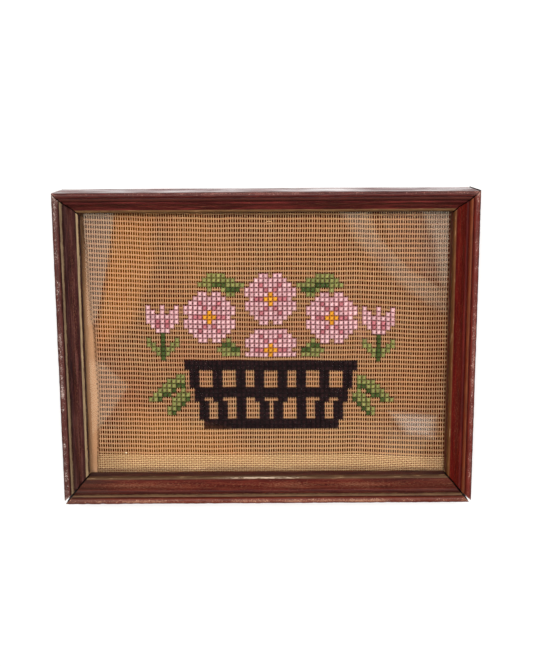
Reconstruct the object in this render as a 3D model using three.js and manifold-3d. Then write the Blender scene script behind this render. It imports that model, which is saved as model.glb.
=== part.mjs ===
// A small needlepoint in its glazed picture frame, lying on its back.
//
// Millimetres. +Z points out of the picture's face, +Y to its top and +X to its right. The origin
// is the middle of the plane that the frame's back lies on.
//
// Four mitred rails hold, from the front: a glass pane, the embroidered canvas and a backing card.

import * as THREE from 'three';
import { mergeVertices } from 'three/addons/utils/BufferGeometryUtils.js';
import Module from 'manifold-3d';

const wasm = await Module();
wasm.setup();

// ---- Driving dimensions ----------------------------------------------------------------------

const FRAME_WIDTH = 218;
const FRAME_HEIGHT = 165.6;
const FRAME_DEPTH = 32.5;

const PIECE_GAP = 0.3;              // between pieces that lie on each other

// The rail's section: 'inset' is the distance in from the frame's outer side, 'drop' the distance
// back from its front.
const LIP_WIDTH = 2.6;
const FILLET = { outer: 2.95, inner: 4.45, outerDrop: 1.5, innerDrop: 2.45 };
const COVE = { outer: 5.9, inner: 9.4, outerDrop: 4.8, innerDrop: 10.7 };
const SIGHT_INSET = 11.1;           // inner face of the rail, which borders the picture
const SIGHT_EDGE_DROP = 12.4;       // where the gilt bead turns down into that face
const REBATE_DROP = 19.2;           // shoulder that the glass lies under
const REBATE_INSET = 6.1;

// How far each corner's joint has opened, measured across it at its outer and inner ends.
const MITRES = {
  bottomLeft: { outerGap: 2.2, innerGap: 0.6 },
  bottomRight: { outerGap: 1.8, innerGap: 0.5 },
  topRight: { outerGap: 0.3, innerGap: 0.3 },
  topLeft: { outerGap: 0.9, innerGap: 0.3 },
};

const REBATE_PLAY = 0.4;            // between the rebate and the edges of the glass and the card
const GLASS_THICKNESS = 2;
const CARD_THICKNESS = 2.5;

const MESH = 2.54;                  // canvas of ten meshes to the inch
const WEAVE_THICKNESS = 1.1;
const STITCH_HEIGHT = 0.9;          // wool standing above the weave
const STITCH_SPREAD = 0.15;         // wool pressing out past its own mesh, all round
const CANVAS_MARGIN = 4.5;          // canvas hidden beyond the sight edge

// The canvas is cut short and crooked at its left, from the top down.
const LEFT_CUT = [
  { y: 76, x: -97.4 },
  { y: 60, x: -96.8 },
  { y: 48, x: -95.8 },
  { y: 24, x: -94.9 },
  { y: 12, x: -94.5 },
  { y: 8, x: -93.4 },
  { y: -8, x: -93.0 },
  { y: -31, x: -92.4 },
  { y: -54, x: -93.4 },
  { y: -76, x: -94.2 },
];

// The embroidery: motifs of one letter to a stitch, where a dot is bare canvas. P and R are the
// two pinks, O ochre, L and D the two greens and B dark brown.
const DESIGN = { columns: 53, rows: 34, centreX: 2.5, centreY: -4.8 };

const ROSE = [
  '...PP.PP...',
  '..PPPPPPP..',
  '.PPRPPPRPP.',
  'PPPPRPRPPPP',
  'PPPPPOPPPPP',
  '.PRROOORRP.',
  'PPPPPOPPPPP',
  'PPPPRPRPPPP',
  '.PPRPPPRPP.',
  '..PPPPPPP..',
  '...PP.PP...',
];
const TULIP = [
  'P..P..P',
  'PP.P.PP',
  'PPPPPPP',
  'PPRPRPP',
  '.PRPRP.',
  '..PPP..',
  '...D...',
  'L..D..L',
  'LL.D.LL',
  '.LLDLL.',
  '..LDL..',
  '...D...',
];
const LEAF_PAIR = [
  '..LLLL....',
  '.LLLLLLL..',
  'LLLDDDLLLL',
  '..L..LDDD.',
  '......LL..',
];
const LOW_LEAF = [
  '.L...',
  'LLL..',
  'LDDL.',
  'LLLDD',
  '.LLLL',
];
const SPRAY = [
  '......LLL',
  '....LLLLD',
  '...LLLDD.',
  '..LLLD.L.',
  '.LLDD.LLL',
  'LLD..LLLD',
  '.....LLD.',
  '....LLD..',
  '....LD...',
];
// The openwork basket: rows of solid bars, with leaning staves between them.
const BASKET = {
  top: 19, rimRows: 2, band: 25, bandRows: 2, base: 32, halfWidthTop: 18, halfWidthBase: 14,
  staves: [0.16, 0.44, 0.72, 1.0], staveWidth: 2,
};

// ---- Levels, from the back up ----------------------------------------------------------------

const GLASS_TOP = FRAME_DEPTH - REBATE_DROP - PIECE_GAP;
const GLASS_BACK = GLASS_TOP - GLASS_THICKNESS;
const STITCH_TOP = GLASS_BACK - PIECE_GAP;
const WEAVE_TOP = STITCH_TOP - STITCH_HEIGHT;
const WEAVE_BACK = WEAVE_TOP - WEAVE_THICKNESS;
const CARD_TOP = WEAVE_BACK - PIECE_GAP;

// ---- Materials -------------------------------------------------------------------------------

const mahogany = new THREE.MeshStandardMaterial({ color: 0x5e2622, roughness: 0.42, metalness: 0 });
const windowGlass = new THREE.MeshStandardMaterial({
  color: 0xe9eeea, roughness: 0.04, metalness: 0, transparent: true, opacity: 0.2,
});
const cottonCanvas = new THREE.MeshStandardMaterial({ color: 0xbd9362, roughness: 0.9, metalness: 0 });
const peachCard = new THREE.MeshStandardMaterial({ color: 0xcf9a70, roughness: 0.85, metalness: 0 });

// ---- Rails -----------------------------------------------------------------------------------

// The moulding's section: x is the inset, y the height above the frame's back.
function railSection() {
  const front = FRAME_DEPTH;
  const section = new THREE.Shape();
  section.moveTo(0, 0);
  section.lineTo(0, front - 1.4);
  // worn round lip
  section.quadraticCurveTo(0, front, 1.2, front);
  section.quadraticCurveTo(LIP_WIDTH - 0.2, front - 0.05, LIP_WIDTH, front - 1.1);
  // groove, then the outer gilt fillet
  section.lineTo(LIP_WIDTH + 0.05, front - 1.9);
  section.lineTo(FILLET.outer - 0.05, front - 1.9);
  section.lineTo(FILLET.outer, front - FILLET.outerDrop);
  section.quadraticCurveTo(
    (FILLET.outer + FILLET.inner) / 2, front - FILLET.outerDrop, FILLET.inner, front - FILLET.innerDrop,
  );
  // second groove, up to the arris where the cove begins
  section.lineTo(FILLET.inner + 0.25, front - 4.1);
  section.lineTo(FILLET.inner + 0.8, front - 4.4);
  section.lineTo(COVE.outer - 0.35, front - COVE.outerDrop + 0.35);
  section.lineTo(COVE.outer, front - COVE.outerDrop);
  section.quadraticCurveTo(
    COVE.outer + 1.0, front - COVE.innerDrop + 1.8, COVE.inner, front - COVE.innerDrop,
  );
  // inner gilt bead, then straight down past the picture to the rebate
  section.lineTo(COVE.inner + 0.1, front - COVE.innerDrop - 0.25);
  section.quadraticCurveTo(
    SIGHT_INSET - 0.4, front - COVE.innerDrop - 0.15, SIGHT_INSET, front - SIGHT_EDGE_DROP,
  );
  section.lineTo(SIGHT_INSET, front - REBATE_DROP);
  section.lineTo(REBATE_INSET, front - REBATE_DROP);
  section.lineTo(REBATE_INSET, 0);
  section.closePath();
  return section;
}

// How far a rail's end falls short of a perfect mitre, at a given inset.
function mitreShortfall(mitre, inset) {
  const across = THREE.MathUtils.mapLinear(inset, 0, SIGHT_INSET, mitre.outerGap, mitre.innerGap);
  return across / Math.SQRT2;
}

// A rail with its outer side on y = 0, its body towards +y, and running along +x from one mitred
// end to the other, centred on the origin.
function railGeometry(length, startMitre, endMitre) {
  const geometry = new THREE.ExtrudeGeometry(railSection(), {
    depth: length, steps: 1, bevelEnabled: false, curveSegments: 7,
  });
  const position = geometry.attributes.position;
  for (let i = 0; i < position.count; i += 1) {
    const inset = position.getX(i);
    const height = position.getY(i);
    const atStart = position.getZ(i) < length / 2;
    const along = atStart
      ? inset + mitreShortfall(startMitre, inset)
      : length - inset - mitreShortfall(endMitre, inset);
    position.setXYZ(i, along - length / 2, inset, height);
  }
  geometry.computeVertexNormals();
  return geometry;
}

function rail(name, length, startMitre, endMitre, quarterTurns, x, y) {
  const mesh = new THREE.Mesh(railGeometry(length, startMitre, endMitre), mahogany);
  mesh.name = name;
  mesh.rotation.z = quarterTurns * Math.PI / 2;
  mesh.position.set(x, y, 0);
  return mesh;
}

function rails() {
  const { bottomLeft, bottomRight, topRight, topLeft } = MITRES;
  const halfWidth = FRAME_WIDTH / 2;
  const halfHeight = FRAME_HEIGHT / 2;
  return [
    rail('rail_bottom', FRAME_WIDTH, bottomLeft, bottomRight, 0, 0, -halfHeight),
    rail('rail_right', FRAME_HEIGHT, bottomRight, topRight, 1, halfWidth, 0),
    rail('rail_top', FRAME_WIDTH, topRight, topLeft, 2, 0, halfHeight),
    rail('rail_left', FRAME_HEIGHT, topLeft, bottomLeft, 3, -halfWidth, 0),
  ];
}

// ---- Flat sheets in the rebate ---------------------------------------------------------------

const SHEET_WIDTH = FRAME_WIDTH - 2 * (REBATE_INSET + REBATE_PLAY);
const SHEET_HEIGHT = FRAME_HEIGHT - 2 * (REBATE_INSET + REBATE_PLAY);

function flatSheet(name, thickness, top, material) {
  const mesh = new THREE.Mesh(new THREE.BoxGeometry(SHEET_WIDTH, SHEET_HEIGHT, thickness), material);
  mesh.name = name;
  mesh.position.z = top - thickness / 2;
  return mesh;
}

// ---- Embroidery ------------------------------------------------------------------------------

// The stitched cells, as the motif number that owns each one. A motif that is stamped later lies
// behind the earlier ones and leaves one bare cell around them.
function stitchedCells() {
  const { columns, rows } = DESIGN;
  const owner = Array.from({ length: rows }, () => new Array(columns).fill(0));
  const taken = (column, row) => (owner[row]?.[column] ?? 0) !== 0;
  const besideOther = (column, row) => taken(column - 1, row) || taken(column + 1, row)
    || taken(column, row - 1) || taken(column, row + 1);
  let stamps = 0;

  function stamp(motif, left, top, mirrored) {
    const fresh = [];
    motif.forEach((letters, r) => [...letters].forEach((letter, c) => {
      const column = mirrored ? columns - 1 - left - c : left + c;
      if (letter !== '.' && !taken(column, top + r) && !besideOther(column, top + r)) {
        fresh.push([column, top + r]);
      }
    }));
    stamps += 1;
    for (const [column, row] of fresh) owner[row][column] = stamps;
  }
  function stampPair(motif, left, top) {
    stamp(motif, left, top, false);
    stamp(motif, left, top, true);
  }
  function weaveBasket() {
    const middle = (columns - 1) / 2;
    stamps += 1;
    for (let row = BASKET.top; row < rows; row += 1) {
      const rise = (row - BASKET.top) / (rows - 1 - BASKET.top);
      const half = Math.round(THREE.MathUtils.lerp(BASKET.halfWidthTop, BASKET.halfWidthBase, rise));
      const solid = row < BASKET.top + BASKET.rimRows || row >= BASKET.base
        || (row >= BASKET.band && row < BASKET.band + BASKET.bandRows);
      for (let column = 0; column < columns; column += 1) {
        const out = Math.abs(column - middle);
        const onStave = BASKET.staves.some((share) => {
          const edge = Math.round(share * half);
          return out <= edge && out > edge - BASKET.staveWidth;
        });
        if (out <= half && (solid || onStave) && !taken(column, row)) owner[row][column] = stamps;
      }
    }
  }

  stamp(ROSE, 21, 0, false);
  weaveBasket();
  stampPair(ROSE, 8, 4);
  stamp(ROSE, 21, 11, false);
  stampPair(LEAF_PAIR, 11, 0);
  stampPair(LOW_LEAF, 15, 13);
  stampPair(TULIP, 0, 7);
  stampPair(SPRAY, 0, 22);
  return owner;
}

// Runs of stitched cells, as rectangles of whole cells: a run goes on down while the rows below
// hold the same run.
function stitchedRuns() {
  const owner = stitchedCells();
  const open = new Map();
  const runs = [];
  owner.forEach((cells, row) => {
    const here = new Set();
    let start = -1;
    for (let column = 0; column <= cells.length; column += 1) {
      const worked = column < cells.length && cells[column] !== 0;
      if (worked && start < 0) start = column;
      if (!worked && start >= 0) {
        here.add(`${start},${column}`);
        start = -1;
      }
    }
    for (const [key, run] of open) if (!here.has(key)) open.delete(key) && runs.push(run);
    for (const key of here) {
      const [from, to] = key.split(',').map(Number);
      if (open.has(key)) open.get(key).rows += 1;
      else open.set(key, { from, to, top: row, rows: 1 });
    }
  });
  return [...runs, ...open.values()];
}

// ---- Canvas ----------------------------------------------------------------------------------

function toSolid(geometry) {
  const bare = geometry.clone();
  bare.deleteAttribute('normal');
  bare.deleteAttribute('uv');
  const merged = mergeVertices(bare, 1e-4);
  return new wasm.Manifold(new wasm.Mesh({
    numProp: 3,
    vertProperties: new Float32Array(merged.attributes.position.array),
    triVerts: new Uint32Array(merged.index.array),
  }));
}

function fromSolid(solid) {
  const mesh = solid.getMesh();
  const geometry = new THREE.BufferGeometry();
  geometry.setAttribute('position', new THREE.BufferAttribute(mesh.vertProperties, 3));
  geometry.setIndex(new THREE.BufferAttribute(mesh.triVerts, 1));
  geometry.computeVertexNormals();
  return geometry;
}

function weaveGeometry() {
  const right = FRAME_WIDTH / 2 - SIGHT_INSET + CANVAS_MARGIN;
  const outline = new THREE.Shape();
  outline.moveTo(right, LEFT_CUT[0].y);
  for (const { x, y } of LEFT_CUT) outline.lineTo(x, y);
  outline.lineTo(right, LEFT_CUT.at(-1).y);
  outline.closePath();
  const geometry = new THREE.ExtrudeGeometry(outline, { depth: WEAVE_THICKNESS, bevelEnabled: false });
  return geometry.translate(0, 0, WEAVE_BACK);
}

function runGeometry({ from, to, top, rows }) {
  const root = WEAVE_BACK + WEAVE_THICKNESS / 2;
  const left = DESIGN.centreX - DESIGN.columns * MESH / 2;
  const upper = DESIGN.centreY + DESIGN.rows * MESH / 2;
  const width = (to - from) * MESH;
  const height = rows * MESH;
  return new THREE.BoxGeometry(
    width + 2 * STITCH_SPREAD, height + 2 * STITCH_SPREAD, STITCH_TOP - root,
  ).translate(
    left + from * MESH + width / 2, upper - top * MESH - height / 2, (STITCH_TOP + root) / 2,
  );
}

function canvas() {
  const weave = toSolid(weaveGeometry());
  const wool = stitchedRuns().map((run) => toSolid(runGeometry(run)));
  const mesh = new THREE.Mesh(fromSolid(wasm.Manifold.union([weave, ...wool])), cottonCanvas);
  mesh.name = 'canvas';
  return mesh;
}

// ---- The picture -----------------------------------------------------------------------------

const picture = new THREE.Group();
picture.name = 'framed_needlepoint';
picture.add(
  ...rails(),
  flatSheet('glass', GLASS_THICKNESS, GLASS_TOP, windowGlass),
  canvas(),
  flatSheet('backing_card', CARD_THICKNESS, CARD_TOP, peachCard),
);

export default picture;
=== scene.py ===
"""Looks of a small needlepoint in its glazed picture frame, lying on its back.

Lengths are millimetres in the part's own frame, and become metres when a mesh is made. +X is the
picture's right, +Y its top and +Z out of its face. Colours are 0 to 255 in sRGB, and the tints of
lights 0 to 1.
"""
import math
from dataclasses import dataclass

import bpy
import numpy as np
from mathutils import Matrix, Vector


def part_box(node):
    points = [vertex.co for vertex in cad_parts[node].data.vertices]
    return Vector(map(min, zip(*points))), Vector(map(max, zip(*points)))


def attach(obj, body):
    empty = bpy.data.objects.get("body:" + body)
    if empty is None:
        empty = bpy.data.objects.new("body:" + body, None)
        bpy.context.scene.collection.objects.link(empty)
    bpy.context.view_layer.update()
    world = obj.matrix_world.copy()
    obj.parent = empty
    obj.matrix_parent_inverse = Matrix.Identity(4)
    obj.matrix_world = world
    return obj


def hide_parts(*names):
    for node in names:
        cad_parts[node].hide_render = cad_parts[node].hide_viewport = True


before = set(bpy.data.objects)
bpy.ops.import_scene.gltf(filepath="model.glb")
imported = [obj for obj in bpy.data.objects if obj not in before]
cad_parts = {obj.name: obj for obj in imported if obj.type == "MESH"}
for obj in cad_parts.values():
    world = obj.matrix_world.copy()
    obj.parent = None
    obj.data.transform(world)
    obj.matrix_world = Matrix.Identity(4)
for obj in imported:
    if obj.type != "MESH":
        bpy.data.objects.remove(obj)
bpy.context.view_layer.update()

MM = 0.001

# ---- Sizes shared with the CAD ----

FRAME_WIDTH = 218
FRAME_HEIGHT = 165.6
FRAME_DEPTH = 32.5
LIP_WIDTH = 2.6
SIGHT_INSET = 11.1
REBATE_INSET = 6.1
REBATE_DROP = 19.2

# Each corner's joint, measured across it at its outer and inner ends.
MITRES = {
    "bottom_left": (1.8, 0.9),
    "bottom_right": (1.6, 0.8),
    "top_right": (0.4, 0.6),
    "top_left": (0.35, 0.45),
}

MESH = 2.54
CANVAS_RIGHT = 102.4
CANVAS_REACH = 76  # the canvas's top and bottom edges, above and below the middle
DESIGN_LEFT = -64.81
DESIGN_TOP = 38.38
DESIGN_COLUMNS = 53
DESIGN_ROWS = 34

# The canvas is cut short and crooked at its left: y and x from the bottom up.
LEFT_CUT = np.array((
    (-76, -94.2),
    (-54, -93.4),
    (-31, -92.4),
    (-8, -93.0),
    (8, -93.4),
    (12, -94.5),
    (24, -94.9),
    (48, -95.8),
    (60, -96.8),
    (76, -97.4),
))


def box(node):
    """A CAD node's lowest and highest corners."""
    return tuple(np.array(corner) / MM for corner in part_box(node))


GLASS_TOP = box("glass")[1][2]
WEAVE_MIDDLE = box("canvas")[0][2] + 0.55  # the level of its threads' middles

# The embroidery: one letter to a stitch, where a dot is bare canvas.
ROSE = (
    "...PP.PP...",
    "..PPPPPPP..",
    ".PPRPPPRPP.",
    "PPPPRPRPPPP",
    "PPPPPOPPPPP",
    ".PRROOORRP.",
    "PPPPPOPPPPP",
    "PPPPRPRPPPP",
    ".PPRPPPRPP.",
    "..PPPPPPP..",
    "...PP.PP...",
)
TULIP = (
    "P..P..P",
    "PP.P.PP",
    "PPPPPPP",
    "PPRPRPP",
    ".PRPRP.",
    "..PPP..",
    "...D...",
    "L..D..L",
    "LL.D.LL",
    ".LLDLL.",
    "..LDL..",
    "...D...",
)
LEAF_PAIR = (
    "..LLLL....",
    ".LLLLLLL..",
    "LLLDDDLLLL",
    "..L..LDDD.",
    "......LL..",
)
LOW_LEAF = (
    ".L...",
    "LLL..",
    "LDDL.",
    "LLLDD",
    ".LLLL",
)
SPRAY = (
    "......LLL",
    "....LLLLD",
    "...LLLDD.",
    "..LLLD.L.",
    ".LLDD.LLL",
    "LLD..LLLD",
    ".....LLD.",
    "....LLD..",
    "....LD...",
)
BASKET_TOP = 19
BASKET_SOLID_ROWS = (19, 20, 25, 26, 32, 33)
BASKET_HALF_TOP = 18
BASKET_HALF_BASE = 14
BASKET_STAVES = (0.16, 0.44, 0.72, 1.0)
BASKET_STAVE_WIDTH = 2


# ---- Objects and meshes ----

CORNERS = ((-1, -1), (1, -1), (1, 1), (-1, 1))
DRIFT_REACH = 400  # to either side of 0


def add_object(name, data):
    item = bpy.data.objects.new(name, data)
    bpy.context.scene.collection.objects.link(item)
    return item


def make_mesh(name, points, faces, materials, **marks):
    """A mesh from points in millimetres. marks are its point attributes by name."""
    mesh = bpy.data.meshes.new(name)
    mesh.from_pydata((np.asarray(points) * MM).tolist(), [], faces)
    for material in materials:
        mesh.materials.append(material)
    for key, values in marks.items():
        values = np.asarray(values, np.float32)
        kind, field = ("FLOAT_VECTOR", "vector") if values.ndim == 2 else ("FLOAT", "value")
        mesh.attributes.new(key, kind, "POINT").data.foreach_set(field, values.ravel())
    return mesh


def make_piece(name, points, faces, materials, finishes=None, sharp=None, **marks):
    """A piece that rides on the part's one body. finishes are its faces' materials by number, and
    sharp is the angle past which edges stay crisp."""
    mesh = make_mesh(name, points, faces, materials, **marks)
    if finishes is not None:
        mesh.polygons.foreach_set("material_index", np.asarray(finishes, np.int32))
    mesh.shade_smooth()
    if sharp is not None:
        mesh.set_sharp_from_angle(angle=math.radians(sharp))
    mesh.update()
    piece = add_object(name, mesh)
    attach(piece, "root")
    return piece


def smoothstep(value, low, high):
    share = np.clip((np.asarray(value, float) - low) / (high - low), 0, 1)
    return share * share * (3 - 2 * share)


def drift(t, seed, spacing):
    """Smooth random values from -1 to 1 along t, with a fresh one at every spacing."""
    knots = np.random.default_rng(seed).uniform(-1, 1, int(2 * DRIFT_REACH / spacing) + 3)
    place = (np.asarray(t, float) + DRIFT_REACH) / spacing
    cell = np.clip(place.astype(int), 0, len(knots) - 2)
    share = smoothstep(place - cell, 0, 1)
    return knots[cell] * (1 - share) + knots[cell + 1] * share


def hump(value, middle, reach):
    """1 at the middle, and next to nothing at twice the reach to either side of it."""
    return np.exp(-((value - middle) / reach) ** 2)


def fading(distance, reach):
    """1 up to no distance, and ever less beyond it."""
    return np.exp(-np.clip(distance, 0, None) / reach)


def triples(*parts):
    """Rows of three, from arrays that are broadcast together."""
    return np.stack(np.broadcast_arrays(*parts), -1).reshape(-1, 3)


def along_path(points):
    """How far along its path each of a row of points is."""
    return np.r_[0, np.cumsum(np.linalg.norm(np.diff(points, axis=0), axis=1))]


def tube_faces(rings, sides, first_point=0, inward=False):
    """The faces of a closed tube whose points lie ring by ring: its sides, then its two ends. With
    inward they turn the other way, for rings that run clockwise."""
    ring = np.arange(rings - 1)[:, None] * sides
    this = np.arange(sides)[None, :]
    following = (this + 1) % sides
    corners = [ring + this, ring + following, ring + sides + following, ring + sides + this]
    start = np.arange(sides)
    ends = [start[::-1], start + (rings - 1) * sides]
    if inward:
        corners = [corners[index] for index in (0, 3, 2, 1)]
        ends = [end[::-1] for end in ends]
    quads = np.stack(corners, -1).reshape(-1, 4) + first_point
    return quads.tolist() + [(end + first_point).tolist() for end in ends]


class Tubes:
    """Closed tubes of one number of sides, gathered into a single mesh."""

    def __init__(self, sides):
        self.sides = sides
        self.points = []
        self.faces = []
        self.marks = {}
        self.count = 0

    def add(self, line, half_width, half_height, kept=slice(None), lobes=0.0, turns=0.0, **marks):
        """A tube along the kept part of line, whose section is an ellipse with its width level.
        lobes is how far two plies stand out, and turns how often they twist over the tube's length.
        The strand mark has the length along it, the share of a turn around it and how far up its
        side a point is."""
        line = np.stack(line, -1)
        full = (len(line),)
        line = line[kept]
        rings = len(line)
        half_width, half_height = (
            np.broadcast_to(size, full)[kept][:, None] for size in (half_width, half_height))
        tangent = np.gradient(line, axis=0)
        tangent /= np.linalg.norm(tangent, axis=1, keepdims=True)
        side = np.cross((0, 0, 1), tangent)
        side /= np.linalg.norm(side, axis=1, keepdims=True)
        upward = np.cross(tangent, side)
        around = np.linspace(0, 2 * math.pi, self.sides, endpoint=False) + math.pi / 2
        twist = np.linspace(0, turns * 2 * math.pi, rings)
        reach = 1 + lobes * np.cos(2 * (around[None, :] - twist[:, None]))
        wide = (half_width * np.cos(around) * reach)[:, :, None] * side[:, None, :]
        high = (half_height * np.sin(around) * reach)[:, :, None] * upward[:, None, :]
        self.points.append((line[:, None, :] + wide + high).reshape(-1, 3))
        self.faces += tube_faces(rings, self.sides, self.count)
        strand = triples(along_path(line)[:, None], around / (2 * math.pi), np.sin(around))
        self.marks.setdefault("strand", []).append(strand)
        for key, values in marks.items():
            values = np.broadcast_to(np.asarray(values, float), full)[kept]
            self.marks.setdefault(key, []).append(np.repeat(values, self.sides))
        self.count += rings * self.sides

    def piece(self, name, material):
        marks = {key: np.concatenate(values) for key, values in self.marks.items()}
        return make_piece(name, np.concatenate(self.points), self.faces, [material], **marks)


# ---- Camera ----

CAMERA_PLACE = (0.15, 119.4, 577.4)
CAMERA_TILT = math.radians(11.36)
CAMERA_ROLL = math.radians(0.34)
CAMERA_LENS = 57.64
CAMERA_SENSOR = 36  # along the picture's long side


def add_camera():
    data = bpy.data.cameras.new("camera")
    data.lens = CAMERA_LENS
    data.sensor_width = CAMERA_SENSOR
    data.clip_start = 0.01
    data.clip_end = 20
    camera = add_object("camera", data)
    turn = Matrix.Rotation(CAMERA_ROLL, 4, "Z") @ Matrix.Rotation(CAMERA_TILT, 4, "X")
    camera.matrix_world = Matrix.Translation(Vector(CAMERA_PLACE) * MM) @ turn.transposed()
    bpy.context.scene.camera = camera


# ---- Materials ----

# painted shade: its colour on the rails, and how thickly it is laid on the rails and the canvas
SHADE_TONE = (26, 7, 5)
SHADE_SHARE = 0.85
LINT_PLACE = (-0.0780, -0.0615, 0.0096)  # metres


def linear(tone):
    """A colour as the linear one that a shader takes."""
    shares = [value / 255 for value in tone]
    return (*(v / 12.92 if v <= 0.04045 else ((v + 0.055) / 1.055) ** 2.4 for v in shares), 1.0)


class Nodes:
    """The node tree of a material or the world. A node's inputs take sockets and plain values."""

    def __init__(self, owner):
        owner.use_nodes = True
        self.tree = owner.node_tree

    def feed(self, node, inputs):
        for key, value in inputs.items():
            if isinstance(value, bpy.types.NodeSocket):
                self.tree.links.new(value, node.inputs[key])
            else:
                node.inputs[key].default_value = value

    def node(self, kind, inputs=None, **settings):
        node = self.tree.nodes.new("ShaderNode" + kind)
        for key, value in settings.items():
            setattr(node, key, value)
        self.feed(node, inputs or {})
        return node


class Surface(Nodes):
    """A material, with a Principled shader that its methods feed. Its base colour is painted in
    layers, the first by stops."""

    def __init__(self, name, **settings):
        self.material = bpy.data.materials.new(name)
        super().__init__(self.material)
        self.shader = self.tree.nodes["Principled BSDF"]
        for key, value in settings.items():
            self.set(key.replace("_", " "), value)

    def set(self, key, value):
        self.feed(self.shader, {key: value})

    def output(self, shader):
        """Show a shader node instead of the Principled one."""
        self.feed(self.tree.nodes["Material Output"], {"Surface": shader.outputs[0]})

    def marks(self, *names):
        """Point attributes, as number sockets."""
        return [self.node("Attribute", attribute_name=name).outputs["Fac"] for name in names]

    def vector_mark(self, name):
        return self.node("Attribute", attribute_name=name).outputs["Vector"]

    def place(self):
        """Where the surface is, in metres."""
        return self.node("TexCoord").outputs["Object"]

    def part(self, vector, axis):
        return self.node("SeparateXYZ", {"Vector": vector}).outputs[axis]

    def length(self, vector, origin=(0, 0, 0)):
        node = self.node("VectorMath", {0: vector, 1: origin}, operation="DISTANCE")
        return node.outputs["Value"]

    def noise(self, vector, scale, detail, roughness):
        """Noise of one scale, or of a scale along each of the vector's axes."""
        if isinstance(scale, tuple):
            mapping = self.node("Mapping", {"Vector": vector, "Scale": scale})
            vector, scale = mapping.outputs["Vector"], 1.0
        inputs = {"Vector": vector, "Scale": scale, "Detail": detail, "Roughness": roughness}
        return self.node("TexNoise", inputs).outputs["Fac"]

    def math(self, operation, first, second=0.0, clamp=False):
        node = self.node("Math", {0: first, 1: second}, operation=operation, use_clamp=clamp)
        return node.outputs[0]

    def times(self, first, second):
        return self.math("MULTIPLY", first, second)

    def plus(self, first, second, clamp=False):
        return self.math("ADD", first, second, clamp)

    def fit(self, value, low, high, least=0.0, most=1.0):
        """value from low to high, as least to most."""
        names = ("Value", "From Min", "From Max", "To Min", "To Max")
        inputs = dict(zip(names, (value, low, high, least, most)))
        return self.node("MapRange", inputs).outputs["Result"]

    def stops(self, value, *stops):
        """The first layer, a colour ramp over value: each stop is a position and a colour."""
        node = self.node("ValToRGB", {"Fac": value})
        elements = node.color_ramp.elements
        while len(elements) < len(stops):
            elements.new(0.5)
        for element, (position, tone) in zip(elements, stops):
            element.position = position
            element.color = linear(tone)
        self.base = node.outputs["Color"]

    def blend(self, share, first, second):
        inputs = {0: share, 6: first, 7: second}
        return self.node("Mix", inputs, data_type="RGBA", blend_type="MIX").outputs[2]

    def paint(self, tone, share, most=1):
        """A layer of one colour, as thick as share times most."""
        share = share if most == 1 else self.times(share, most)
        self.base = self.blend(share, self.base, linear(tone))

    def paint_where(self, tone, value, low, high, least=0.0, most=1.0):
        self.paint(tone, self.fit(value, low, high, least, most))

    def bump(self, height, distance, strength):
        """Relief of height times distance, in millimetres."""
        inputs = {"Height": height, "Distance": distance * MM, "Strength": strength}
        self.set("Normal", self.node("Bump", inputs).outputs["Normal"])

    def finish(self, height, distance, strength):
        """The material, with its layers of colour and a relief."""
        self.set("Base Color", self.base)
        self.bump(height, distance, strength)
        return self.material


def mahogany_finish(side, deep, middle, pale, lip, scuff):
    """Stained and polished wood, its grain running along the rail and its lip scuffed paler."""
    look = Surface(
        "mahogany_" + side, Specular_IOR_Level=0.25, Coat_Roughness=0.15, Coat_IOR=1.2)
    along = look.vector_mark("grain")
    worn, on_lip, soiled, dusty, grimy, outside = look.marks(
        "worn", "lip", "soiled", "dusty", "grimy", "side")
    figure = look.noise(along, (0.035, 0.5, 0.5), 4, 0.65)
    streaks = look.noise(along, (0.09, 1.3, 1.3), 5, 0.7)
    pores = look.noise(along, (0.3, 5, 5), 3, 0.7)
    look.stops(figure, (0.34, deep), (0.5, middle), (0.66, pale))
    # the lip's tone, which on each rail partly paints how the light falls on it
    look.paint(lip, on_lip, 0.8)
    look.paint_where(deep, streaks, 0.46, 0.62, 0, 0.7)
    look.paint_where(pale, streaks, 0.48, 0.3, 0, 0.6)
    look.paint_where((26, 6, 5), pores, 0.55, 0.72, 0, 0.45)
    # dust and fine scratches mottle the polish, and grime dulls it near the mitres
    mottle = look.noise(along, (0.7, 1.6, 1.6), 4, 0.75)
    mottle = look.plus(mottle, look.times(dusty, 0.12))
    look.paint_where((176, 122, 92), mottle, 0.58, 0.74, 0, 0.5)
    look.paint((78, 52, 44), grimy, 0.6)
    # the arris is scuffed through in short strokes, and in spots where it is worn most
    look.paint((168, 122, 108), worn, 0.22)
    strokes = look.noise(along, (1.3, 2.8, 2.8), 5, 0.75)
    strokes = look.plus(strokes, look.times(worn, 0.28))
    look.paint(scuff, look.fit(strokes, 0.675, 0.73), 0.55)
    spots = look.noise(along, (0.9, 1.4, 1.4), 3, 0.6)
    look.paint(scuff, look.times(look.fit(spots, 0.6, 0.65), look.fit(worn, 0.1, 0.45)))
    # painted shade in the grooves, on the wall and along the arris
    look.paint(SHADE_TONE, soiled, SHADE_SHARE)
    # the outer side has kept its gloss in places
    gloss = look.noise(along, (0.022, 0.035, 0.035), 4, 0.6)
    look.set("Coat Weight", look.times(outside, look.fit(gloss, 0.42, 0.68, 0, 0.6)))
    gloss = look.times(outside, look.fit(gloss, 0.42, 0.62, -0.4, 0.1))
    rough = look.fit(strokes, 0.4, 0.9, 0.4, 0.7)
    rough = look.math("SUBTRACT", rough, look.times(gloss, 0.32))
    matt = look.times(soiled, look.fit(outside, 0, 1, 0.5, 0))
    look.set("Roughness", look.plus(rough, matt, clamp=True))
    return look.finish(streaks, 0.15, 0.35)


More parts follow.
